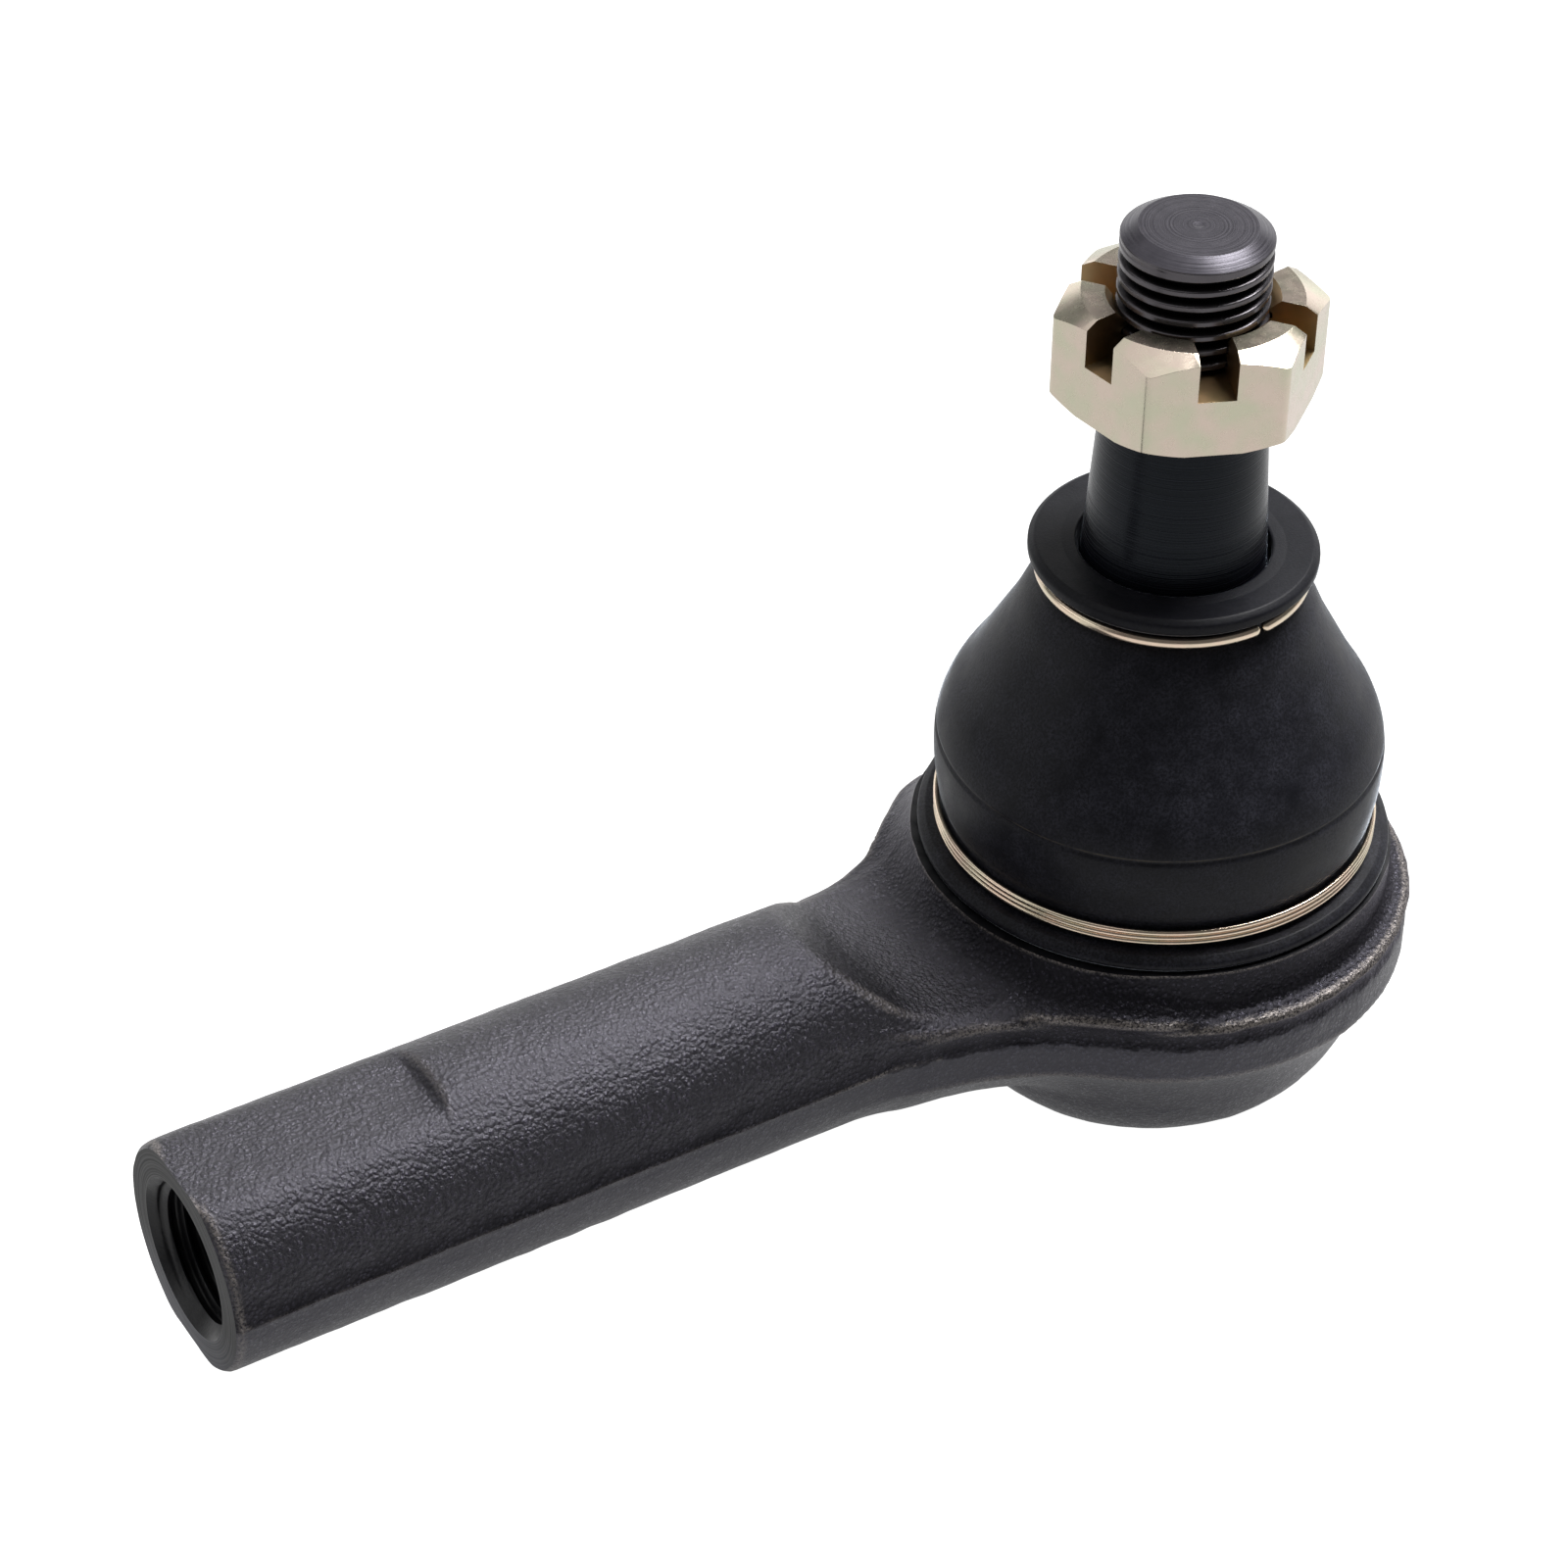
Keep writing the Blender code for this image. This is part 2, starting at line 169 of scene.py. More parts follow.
def wrapped(radii, heights):
    """Vertices and faces of rows of points once round +Z; points that coincide become one."""
    rows, columns = radii.shape
    angles = np.linspace(0.0, math.tau, columns)
    points = np.stack([radii * np.cos(angles), radii * np.sin(angles), heights], axis=2).reshape(-1, 3)
    _, first, number = np.unique(np.round(points, 4) + 0.0, axis=0, return_index=True, return_inverse=True)
    number = number.reshape(rows, columns).tolist()
    faces = []
    for low, high in zip(number, number[1:]):
        for j in range(columns - 1):
            face = list(dict.fromkeys((low[j], low[j + 1], high[j + 1], high[j])))
            if len(face) > 2:
                faces.append(face)
    return points[first], faces


def rows_of(points, segments):
    """Radii and heights of one row for each (radius, height) point."""
    profile = np.array(points)
    return np.repeat(profile[:, :1], segments + 1, axis=1), np.repeat(profile[:, 1:], segments + 1, axis=1)


def stacked(*parts):
    """Radii and heights of several sets of rows, one after another."""
    return np.concatenate([part[0] for part in parts]), np.concatenate([part[1] for part in parts])


def turned(name, outline, finishes, segments=96):
    """A solid of revolution from (radius, height) points, outer side first and upwards."""
    vertices, faces = wrapped(*rows_of(outline, segments))
    return make_object(name, vertices, faces, finishes)


def closed(outline):
    """An outline that ends where it starts."""
    return outline + outline[:1]


def prism(name, outline, low, high, finishes):
    """A plane outline, counterclockwise seen from above, extruded from low to high."""
    count = len(outline)
    vertices = [(x, y, z) for z in (low, high) for x, y in outline]
    faces = [tuple(reversed(range(count))), tuple(range(count, 2 * count))]
    for index in range(count):
        after = (index + 1) % count
        faces.append((index, after, count + after, count + index))
    return make_object(name, vertices, faces, finishes)


def box_solid(name, low, high, finishes, turn_degrees=0.0):
    """A block between two corners, turned about +Z."""
    c, s = math.cos(math.radians(turn_degrees)), math.sin(math.radians(turn_degrees))
    flat = [(low[0], low[1]), (high[0], low[1]), (high[0], high[1]), (low[0], high[1])]
    return prism(name, [(x * c - y * s, x * s + y * c) for x, y in flat], low[2], high[2], finishes)


def combine(target, tool, operation="DIFFERENCE"):
    """Cut a tool out of a target, or keep their common part; cut faces take the tool's finish."""
    modifier = target.modifiers.new("combine", "BOOLEAN")
    modifier.object = tool
    modifier.operation = operation
    modifier.solver = "EXACT"
    modifier.material_mode = "TRANSFER"
    settle(target)
    bpy.data.objects.remove(tool, do_unlink=True)


def settle(target):
    """Apply an object's modifiers."""
    graph = bpy.context.evaluated_depsgraph_get()
    mesh = bpy.data.meshes.new_from_object(target.evaluated_get(graph))
    target.modifiers.clear()
    old = target.data
    target.data = mesh
    bpy.data.meshes.remove(old)


def resharpen(target, degrees):
    """Shade smooth, with edges sharper than the angle left hard."""
    target.data.shade_smooth()
    target.data.set_sharp_from_angle(angle=math.radians(degrees))


def mount(piece, body, slot, *nodes):
    """Make a piece ride on a body and stand for CAD nodes; the slot is not used."""
    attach(piece, body)
    if nodes:
        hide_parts(*nodes)


# Smooth solids given as a field: negative inside, near distance in millimetres

def join(a, b, blend):
    """Both solids together, with a fillet of about the blend's width between them."""
    h = np.clip(0.5 + 0.5 * (b - a) / blend, 0.0, 1.0)
    return b + (a - b) * h - blend * h * (1.0 - h)


def meet(a, b, blend):
    """What two solids have in common, with their shared edge rounded."""
    return -join(-a, -b, blend)


def ramp(value, start, end):
    """0 at start, 1 at end and a smooth step between."""
    t = np.clip((value - start) / (end - start), 0.0, 1.0)
    return t * t * (3.0 - 2.0 * t)


def soft_noise(points, cell, seed):
    """Smooth noise from -1 to 1 on a lattice of random numbers with the given cell size."""
    side = 64
    lattice = np.random.default_rng(seed).uniform(-1.0, 1.0, (side, side, side))
    scaled = points / cell + 1000.0
    base = np.floor(scaled).astype(int)
    part = scaled - base
    part = part * part * (3.0 - 2.0 * part)
    total = np.zeros(len(points))
    for corner in np.ndindex(2, 2, 2):
        weight = np.prod(np.where(corner, part, 1.0 - part), axis=1)
        index = (base + corner) % side
        total += weight * lattice[index[:, 0], index[:, 1], index[:, 2]]
    return total


def surface_net(field, low, high, step):
    """Vertices and quads of a field's zero surface, one vertex in each cell that it crosses."""
    axes = [np.arange(a, b + step, step) for a, b in zip(low, high)]
    values = field(*np.meshgrid(*axes, indexing="ij"))
    inside = values < 0.0
    count = np.zeros(tuple(n - 1 for n in values.shape), int)
    for i, j, k in np.ndindex(2, 2, 2):
        count += inside[i:i + count.shape[0], j:j + count.shape[1], k:k + count.shape[2]]
    cells = np.argwhere((count > 0) & (count < 8))
    number = np.full(count.shape, -1)
    number[tuple(cells.T)] = np.arange(len(cells))
    total = np.zeros((len(cells), 3))
    crossings = np.zeros(len(cells))
    quads = []
    for axis in range(3):
        along = np.eye(3, dtype=int)[axis]
        side_a, side_b = np.eye(3, dtype=int)[(axis + 1) % 3], np.eye(3, dtype=int)[(axis + 2) % 3]
        for a, b in np.ndindex(2, 2):
            start = cells + a * side_a + b * side_b
            v0, v1 = values[tuple(start.T)], values[tuple((start + along).T)]
            crossed = (v0 < 0.0) != (v1 < 0.0)
            part = v0[crossed] / (v0[crossed] - v1[crossed])
            total[crossed] += start[crossed] + part[:, None] * along
            crossings[crossed] += 1
        ends = [slice(None)] * 3
        starts = [slice(None)] * 3
        starts[axis], ends[axis] = slice(None, -1), slice(1, None)
        change = inside[tuple(starts)].astype(int) - inside[tuple(ends)]
        edges = np.argwhere(change != 0)
        signs = change[tuple(edges.T)]
        ring = [edges - side_a - side_b, edges - side_b, edges, edges - side_a]
        corners = np.stack([number[tuple(cell.T)] for cell in ring], axis=1)
        corners[signs < 0] = corners[signs < 0][:, ::-1]
        quads.append(corners)
    places = np.array(low) + total / crossings[:, None] * step
    return places, np.concatenate(quads)


def settle_on(field, places, quads, rounds=3):
    """Even out a net's vertices along the surface and draw them onto it."""
    size = len(places)
    near = np.bincount(quads.ravel(), minlength=size)
    for turn in range(rounds + 2):
        if turn < rounds:
            middle = places[quads].mean(axis=1)
            total = np.zeros_like(places)
            for corner in range(4):
                np.add.at(total, quads[:, corner], middle)
            places = places * 0.35 + total / near[:, None] * 0.65
        value, slope = slope_of(field, places)
        places = places - slope * (value / np.maximum((slope ** 2).sum(axis=1), 0.2))[:, None]
    return places


def slope_of(field, places, reach=0.04):
    """A field's values and its gradient at some places."""
    value = field(*places.T)
    slope = np.zeros_like(places)
    for axis in range(3):
        step = np.zeros(3)
        step[axis] = reach
        slope[:, axis] = (field(*(places + step).T) - field(*(places - step).T)) / (2 * reach)
    return value, slope


# Finishes: procedural materials, with lengths in millimetres

class Finish:
    """A material's Principled shader and the nodes that feed it.

    The plain colour and roughness stand in where a program does not read the nodes.
    """

    def __init__(self, name, colour, roughness, metallic, **plain):
        self.material = bpy.data.materials.new(name)
        self.material.use_nodes = True
        self.tree = self.material.node_tree
        self.shader = self.tree.nodes["Principled BSDF"]
        self.shader.inputs["Base Color"].default_value = (*colour, 1.0)
        self.shader.inputs["Roughness"].default_value = roughness
        self.shader.inputs["Metallic"].default_value = metallic
        for key, value in plain.items():
            self.shader.inputs[key.replace("_", " ")].default_value = value
        self.place = self.add("VectorMath", {0: self.add("TexCoord").outputs["Object"],
                                             1: (1 / MM, 1 / MM, 1 / MM)}, operation="MULTIPLY").outputs[0]
        self.parts = self.add("SeparateXYZ", {0: self.place})

    def add(self, kind, inputs=None, **settings):
        """A new node; each input is a socket to link or a value to set."""
        node = self.tree.nodes.new("ShaderNode" + kind)
        for key, value in settings.items():
            setattr(node, key, value)
        for key, value in (inputs or {}).items():
            if isinstance(value, bpy.types.NodeSocket):
                self.tree.links.new(value, node.inputs[key])
            else:
                node.inputs[key].default_value = value
        return node

    def noise(self, size, detail=2.0, rough=0.5):
        """Soft noise round 0.5, with lumps of about the given size."""
        inputs = {"Vector": self.place, "Scale": 1 / size, "Detail": detail, "Roughness": rough}
        return self.add("TexNoise", inputs).outputs["Fac"]

    def cells(self, size, smooth):
        """Distance from the nearest of many scattered points, as pebbles have."""
        inputs = {"Vector": self.place, "Scale": 1 / size, "Smoothness": smooth}
        return self.add("TexVoronoi", inputs, feature="SMOOTH_F1").outputs["Distance"]

    def lines(self, value, size, detail=2.0):
        """Noise that changes along one measure only."""
        inputs = {"W": value, "Scale": 1 / size, "Detail": detail}
        return self.add("TexNoise", inputs, noise_dimensions="1D").outputs["Fac"]

    def math(self, operation, a, b=0.0, c=0.0):
        """A sum, a product or another operation on up to three values."""
        return self.add("Math", {0: a, 1: b, 2: c}, operation=operation).outputs[0]

    def spread(self, value, low, high, to_low=0.0, to_high=1.0):
        """A value moved from one range to another and held inside it."""
        inputs = {"Value": value, "From Min": low, "From Max": high, "To Min": to_low, "To Max": to_high}
        return self.add("MapRange", inputs).outputs[0]

    def mix(self, factor, a, b):
        """A colour between two: the first where the factor is 0, the second where it is 1."""
        colours = [(*c, 1.0) if isinstance(c, tuple) else c for c in (a, b)]
        return self.add("Mix", {0: factor, 6: colours[0], 7: colours[1]}, data_type="RGBA").outputs[2]

    def bump(self, height, depth, strength=1.0, under=None):
        """A normal bent by a height, on top of another bump where one is given."""
        inputs = {"Height": height, "Distance": depth * MM, "Strength": strength}
        if under is not None:
            inputs["Normal"] = under
        return self.add("Bump", inputs).outputs[0]

    def feed(self, **sockets):
        """Link sockets to the shader's inputs and give the finished material."""
        for key, socket in sockets.items():
            self.tree.links.new(socket, self.shader.inputs[key.replace("_", " ")])
        return self.material


def forged_finish():
    """Blasted, blackened forging: coarse above the parting line, finer below it, worn on ridges; the band
    under the rim and round the socket is painted darker and more metallic, as painted shade.
    """
    f = Finish("forged_black", (0.03, 0.03, 0.034), 0.36, 0.0, Specular_IOR_Level=0.62,
               Specular_Tint=(0.93, 0.90, 1.04, 1.0))
    z = f.parts.outputs["Z"]
    border = f.math("ADD", z, f.spread(f.noise(1.8, 3.0), 0.2, 0.8, -0.45, 0.45))
    upper = f.spread(border, PARTING_Z - 0.15, PARTING_Z + 0.15)
    # Painted shade: a band under the rim and round the socket, which also has a finer grain.
    low = f.spread(border, 25.6, 23.2, 0.0, 0.8)
    socket = f.spread(f.parts.outputs["X"], -30.0, -22.0, 0.0, 0.75)
    band = f.math("MULTIPLY", upper, f.math("MAXIMUM", low, socket))
    pebbles = f.cells(0.44, 0.08)
    fine = f.noise(0.20, 3.0, 0.7)
    grain = f.math("MULTIPLY_ADD", pebbles, -0.9, f.math("MULTIPLY", fine, 0.8))
    height = f.math("MULTIPLY", grain, f.spread(upper, 0.0, 1.0, 0.45, 1.0))
    patches = f.spread(f.noise(6.0, 4.0, 0.6), 0.35, 0.65)
    tops = f.spread(grain, 0.02, 0.28)
    coarse_tops = f.mix(patches, (0.013, 0.012, 0.018), (0.033, 0.029, 0.043))
    coarse = f.mix(tops, (0.0008, 0.0007, 0.0010), coarse_tops)
    smooth_tops = f.mix(patches, (0.012, 0.0125, 0.021), (0.026, 0.027, 0.042))
    smooth = f.mix(tops, (0.002, 0.0021, 0.004), smooth_tops)
    # Painted shade: the band's colour, darker than the coarse skin.
    band_shade = f.mix(tops, (0.003, 0.0028, 0.004), (0.018, 0.017, 0.024))
    skin = f.mix(upper, smooth, f.mix(band, coarse, band_shade))
    edges = f.add("Attribute", attribute_name="wear").outputs["Fac"]
    worn = f.math("MULTIPLY", edges, f.spread(fine, 0.40, 0.56))
    colour = f.mix(worn, skin, (0.17, 0.152, 0.138))
    rough = f.spread(f.math("MULTIPLY_ADD", patches, 0.3, tops), 0.0, 1.2, 0.42, 0.20)
    strength = f.spread(band, 0.0, 1.0, 1.0, 0.62)
    lumps = f.bump(f.noise(1.5, 2.0), 0.10)
    # Painted shade: the band turns metallic over its dark colour to dim its gloss, most on the -Y side.
    band_shade_metallic = f.math("MULTIPLY", band, f.spread(f.parts.outputs["Y"], 2.0, 18.0, 0.85, 0.35))
    return f.feed(Base_Color=colour, Roughness=rough, Metallic=band_shade_metallic,
                  Normal=f.bump(height, 0.12, strength, lumps))


def radius_about(f, *axes):
    """Distance from an axis, as a socket, from the two coordinates across it."""
    square = f.math("ADD", f.math("MULTIPLY", axes[0], axes[0]), f.math("MULTIPLY", axes[1], axes[1]))
    return f.math("SQRT", square)


def faced_finish():
    """Sawn and faced shank end: smooth grey steel with faint rings, darker towards the top and lighter
    towards the bottom.
    """
    f = Finish("faced_steel", (0.05, 0.05, 0.058), 0.45, 0.4, Specular_IOR_Level=0.15)
    across = f.math("SUBTRACT", f.parts.outputs["Z"], BALL_Z)
    rings = f.lines(radius_about(f, f.parts.outputs["Y"], across), 0.22)
    stain = f.noise(2.2, 3.0)
    darker_top = f.mix(stain, (0.003, 0.003, 0.0035), (0.009, 0.009, 0.010))
    lighter_bottom = f.mix(stain, (0.060, 0.061, 0.072), (0.105, 0.107, 0.125))
    # Darker towards the top, lighter towards the bottom.
    colour = f.mix(f.spread(f.parts.outputs["Z"], 20.0, 11.5), darker_top, lighter_bottom)
    return f.feed(Base_Color=colour, Roughness=f.spread(rings, 0.3, 0.7, 0.40, 0.56),
                  Normal=f.bump(rings, 0.012))


def bored_finish():
    """Oiled, phosphated inside of bores and threads."""
    f = Finish("oiled_bore", (0.006, 0.006, 0.007), 0.42, 0.0, Specular_IOR_Level=0.3)
    film = f.noise(1.6, 3.0)
    colour = f.mix(film, (0.002, 0.002, 0.003), (0.010, 0.010, 0.012))
    return f.feed(Base_Color=colour, Roughness=f.spread(film, 0.3, 0.7, 0.28, 0.48),
                  Normal=f.bump(f.noise(0.3), 0.02))


def stud_finish():
    """Black oxide over ground steel: deep and glossy, with fine turning lines and a bluish cast."""
    f = Finish("black_oxide", (0.003, 0.003, 0.005), 0.20, 0.0, Specular_IOR_Level=0.18,
               Specular_Tint=(0.80, 0.90, 1.0, 1.0), Sheen_Weight=0.90, Sheen_Roughness=0.10,
               Sheen_Tint=(0.72, 0.84, 1.0, 1.0))
    z = f.parts.outputs["Z"]
    fine = f.lines(z, 0.14, 1.0)
    tone = f.math("ADD", f.math("MULTIPLY", f.lines(z, 1.1), 0.6), f.math("MULTIPLY", f.noise(3.0, 3.0), 0.4))
    colour = f.mix(tone, (0.0010, 0.0010, 0.0016), (0.0045, 0.005, 0.008))
    lined = f.mix(f.spread(fine, 0.55, 0.8), colour, (0.014, 0.015, 0.022))
    return f.feed(Base_Color=lined, Roughness=f.spread(fine, 0.3, 0.7, 0.14, 0.30),
                  Normal=f.bump(fine, 0.030, 0.8))


def thread_finish():
    """The rolled thread: black oxide, painted lighter towards the crest as painted highlight and darker
    towards the root as painted shade.
    """
    f = Finish("black_oxide_thread", (0.05, 0.05, 0.06), 0.26, 0.85)
    stain = f.noise(2.6, 2.0)
    radius = radius_about(f, f.parts.outputs["X"], f.parts.outputs["Y"])
    # By radius: painted highlight towards the crest, painted shade towards the root.
    crest = f.spread(radius, 6.35, THREAD_R)
    groove_shade = f.mix(stain, (0.005, 0.005, 0.006), (0.014, 0.014, 0.017))
    crests = f.mix(stain, (0.070, 0.064, 0.070), (0.120, 0.112, 0.120))
    return f.feed(Base_Color=f.mix(crest, groove_shade, crests), Roughness=f.spread(stain, 0.3, 0.7, 0.20, 0.30),
                  Normal=f.bump(f.noise(0.4), 0.004))


def stud_end_finish():
    """The stud's faced end: the same oxide over rings of the facing tool."""
    f = Finish("black_oxide_end", (0.045, 0.042, 0.050), 0.36, 0.7)
    rings = f.lines(radius_about(f, f.parts.outputs["X"], f.parts.outputs["Y"]), 0.18)
    stain = f.noise(1.4, 3.0, 0.6)
    colour = f.mix(stain, (0.034, 0.032, 0.040), (0.072, 0.067, 0.079))
    return f.feed(Base_Color=colour, Roughness=f.spread(rings, 0.3, 0.7, 0.28, 0.42),
                  Normal=f.bump(rings, 0.010))


def zinc_finish(name, colour, tint_a, tint_b, roughness):
    """Zinc plate with a thin yellow passivate that tints green and pink in patches."""
    f = Finish(name, colour, roughness, 1.0)
    hue = f.noise(3.2, 2.0, 0.5)
    tinted = f.mix(f.spread(hue, 0.35, 0.65), tint_a, tint_b)
    cloud = f.noise(1.1, 4.0, 0.6)
    final = f.mix(f.spread(cloud, 0.3, 0.8, 0.0, 0.5), tinted, colour)
    grain = f.noise(1.4, 1.0)
    return f.feed(Base_Color=final, Roughness=f.spread(cloud, 0.3, 0.7, roughness - 0.02, roughness + 0.03),
                  Normal=f.bump(grain, 0.001))


def rubber_finish():
    """Black rubber with a soft bloom, fine dust and a brownish rub along its edges; the bloom and dust are
    thinned on the lip's top as painted shade, and the rubber is darker towards the bottom.
    """
    f = Finish("boot_rubber", (0.010, 0.010, 0.012), 0.45, 0.0, Specular_IOR_Level=0.14,
               Sheen_Weight=0.85, Sheen_Roughness=0.14, Sheen_Tint=(0.82, 0.90, 1.0, 1.0))
    bloom = f.noise(3.6, 6.0, 0.7)
    dust = f.noise(0.26, 3.0, 0.75)
    veil = f.math("MULTIPLY", f.spread(bloom, 0.30, 0.80), f.spread(dust, 0.40, 0.60, 0.1, 1.0))
    z = f.parts.outputs["Z"]
    # Darker towards the bottom.
    low = f.spread(z, 44.0, 30.0)
    deep = f.mix(low, (0.0055, 0.0057, 0.0080), (0.0035, 0.0035, 0.0050))
    # Painted shade: less bloom and dust on the lip's top, to darken it.
    top = f.spread(z, 59.0, 60.5, 1.0, 0.25)
    colour = f.mix(f.math("MULTIPLY", veil, top), deep, (0.036, 0.036, 0.048))
    near = f.math("ABSOLUTE", f.math("SUBTRACT", z, CREASE_Z + 0.22))
    rub = f.math("MULTIPLY", f.spread(near, 0.16, 0.02), f.spread(f.noise(2.2, 3.0), 0.35, 0.6))
    return f.feed(Base_Color=f.mix(rub, colour, (0.075, 0.062, 0.048)),
                  Roughness=f.spread(bloom, 0.3, 0.7, 0.38, 0.54), Normal=f.bump(dust, 0.03, 0.8))


def moulded_finish(name, colour):
    """Natural acetal with a faint mottling and a film of grease."""
    f = Finish(name, colour, 0.4, 0.0, Coat_Weight=0.3, Coat_Roughness=0.15)
    mottle = f.noise(2.5, 3.0)
    darker = tuple(value * 0.86 for value in colour)
    return f.feed(Base_Color=f.mix(mottle, darker, colour), Roughness=f.spread(mottle, 0.3, 0.7, 0.32, 0.5),
                  Normal=f.bump(f.noise(0.5), 0.01))


def plain_steel_finish(name, colour, roughness):
    """Bright drawn or turned steel with fine lines and a touch of oil."""
    f = Finish(name, colour, roughness, 1.0)
    lines = f.noise(0.3, 3.0)
    darker = tuple(value * 0.7 for value in colour)
    return f.feed(Base_Color=f.mix(lines, darker, colour),
                  Roughness=f.spread(lines, 0.3, 0.7, roughness - 0.06, roughness + 0.08),
                  Normal=f.bump(lines, 0.008))


# Threads

def thread_radius(angle, z, root, crest, phase_z):
    """Radius of a right-hand thread whose crest passes phase_z at angle 0."""
    turn = (z - phase_z) / PITCH - angle / math.tau
    off_crest = np.abs(turn - np.round(turn)) * 2.0
    root_from, crest_to = 0.92, 0.26
    return root + (crest - root) * ramp(off_crest, root_from, crest_to)


def thread_rows(low, high, segments, steps=30):
    """Angles and heights of rows that follow a thread's lead, level at both ends."""
    starts = np.arange(low - PITCH, high + PITCH / steps, PITCH / steps)
    angle, height = np.meshgrid(np.linspace(0.0, math.tau, segments + 1), starts)
    return angle, np.clip(height + PITCH * angle / math.tau, low, high)


# Housing

def plate_plan(x, y, r):
    """Distance in plan outside the flange and the web, which fillets onto the shank's width."""
    fillet, tuck = 34.0, 2.6
    centre_y = SHANK_R + fillet
    centre_x = -math.sqrt((FLANGE_R + fillet) ** 2 - centre_y ** 2)
    arc = fillet - np.hypot(x - centre_x, np.abs(y) - centre_y)
    web = np.where(x > centre_x, arc, np.abs(y) - SHANK_R) + tuck * ramp(-x, 32.0, 40.0)
    return np.where(centre_y * x > centre_x * np.abs(y), r - FLANGE_R, web)


def bowl_field(r, z):
    """The round bottom: part of a sphere above a cone, cut level at the base and under the collar."""
    sphere_r, sphere_z = 23.0, 19.62
    foot_r, flare, flare_length = 10.44, 1.39, 1.712
    cone = (r - foot_r - flare * z) / flare_length
    bowl = meet(meet(np.sqrt(r ** 2 + (z - sphere_z) ** 2) - sphere_r, cone, 1.2), -z, 0.8)
    return np.maximum(bowl, z - 24.0)


def plate_field(x, y, z, r):
    """The flange and web: drafted below the parting line, with a pinched step and a raised rim."""
    base, end_x = 12.5, -40.0
    top = 24.7 + 0.3 * ramp(-x, 4.0, 22.0)
    draft = 0.80 * np.maximum(0.0, 18.2 - z)
    step = 0.30 * np.exp(-((z - 22.9) / 0.8) ** 2)
    rim = 0.14 * np.exp(-((z - top + 0.6) / 0.35) ** 2)
    side = (plate_plan(x, y, r) + (draft + step)) * 0.9 - rim
    plate = meet(meet(side, z - top, 0.6), base - z, 2.5)
    return np.maximum(plate, end_x - x)


def shank_field(x, y, z):
    """The shank: a bar with a parting seam, two flats, a chamfered end and a slope down to the web."""
    flat_height, flat_end, run, rise, length = 9.7, -78.3, 8.0, 9.4, 12.34
    across = np.hypot(y, z - BALL_Z)
    seam = 0.16 * np.exp(-((z - PARTING_Z - 0.2) / 0.3) ** 2)
    shank = across - SHANK_R - seam + 0.12 * ramp(z, PARTING_Z + 0.3, PARTING_Z - 0.3)
    flats = np.abs(z - BALL_Z) - flat_height - 1.5 * ramp(x, flat_end - 1.6, flat_end)
    shank = meet(shank, flats, 0.8)
    shank = meet(shank, (across - SHANK_R + 0.5 - (x - SHANK_END_X)) * 0.707, 0.3)
    slope = ((x + 41.0) * run + (z - 32.9) * rise) / length
    shank = meet(shank, join(slope, z - 24.6, 3.6), 0.7)
    return np.maximum(shank, np.maximum(x + 8.0, SHANK_END_X - 1.2 - x))


def housing_field(x, y, z):
    """The whole forging before it is machined."""
    r = np.hypot(x, y)
    body = join(bowl_field(r, z), plate_field(x, y, z, r), 1.8)
    collar = np.maximum(meet(r - COLLAR_R, z - COLLAR_Z - 1.5, 0.3), 18.0 - z)
    body = join(body, collar, 1.0 + 6.2 * ramp(-x, 4.0, 18.0) * ramp(z, 23.5, 25.5))
    body = join(body, shank_field(x, y, z), 2.6)
    spigot = np.maximum(r - 19.0, np.abs(z - 28.0) - 8.0)
    return join(body, spigot, 0.2)


def mark_wear(target):
    """Store where the forging is most exposed: its convex ridges and the collar's turned edge."""
    mesh = target.data
    flat = np.empty(3 * len(mesh.vertices))
    mesh.vertices.foreach_get("co", flat)
    places = flat.reshape(-1, 3) / MM
    reach = 0.5
    middle = housing_field(*places.T)
    bend = np.zeros(len(places))
    for step in np.eye(3) * reach:
        bend += housing_field(*(places + step).T) + housing_field(*(places - step).T) - 2.0 * middle
    near_collar = ramp(np.hypot(*places[:, :2].T), COLLAR_R + 3.0, COLLAR_R + 1.0)
    turned_edge = near_collar * ramp(places[:, 2], COLLAR_Z - 0.3, COLLAR_Z)
    exposed = np.maximum(ramp(bend / reach ** 2, 0.35, 1.2), turned_edge)
    x = places[:, 0]
    exposed *= 1.0 - 0.75 * ramp(-x, 38.0, 46.0) * ramp(x, SHANK_END_X + 0.6, SHANK_END_X + 1.2)
    mesh.attributes.new("wear", "FLOAT", "POINT").data.foreach_set("value", exposed)


def shank_bore_tool(finishes):
    """The tapped hole, turned about +Z first and then laid along the shank."""
    segments, past, mouth, root, crest = 80, 1.0, 7.7, 7.0, 6.35
    threaded, depth = 27.0, 40.0
    tip = crest / math.tan(math.radians(59.0))
    grid_angle, grid_z = thread_rows(0.05, threaded, segments, 12)
    helix = thread_radius(grid_angle, grid_z, crest, root, 0.4)
    run_out = root - (root - crest) * ramp(grid_z, threaded - 2.5, threaded - 0.5)
    helix = np.maximum(np.minimum(helix, run_out), mouth - grid_z)
    outside = rows_of([(0.0, -past), (mouth + past, -past)], segments)
    plain = rows_of([(crest, threaded + 0.8), (crest, depth), (0.0, depth + tip)], segments)
    vertices, faces = wrapped(*stacked(outside, (helix, grid_z), plain))
    laid = np.stack([vertices[:, 2] + SHANK_END_X, vertices[:, 1], BALL_Z - vertices[:, 0]], axis=1)
    return make_object("bore_tool", laid, faces, finishes)


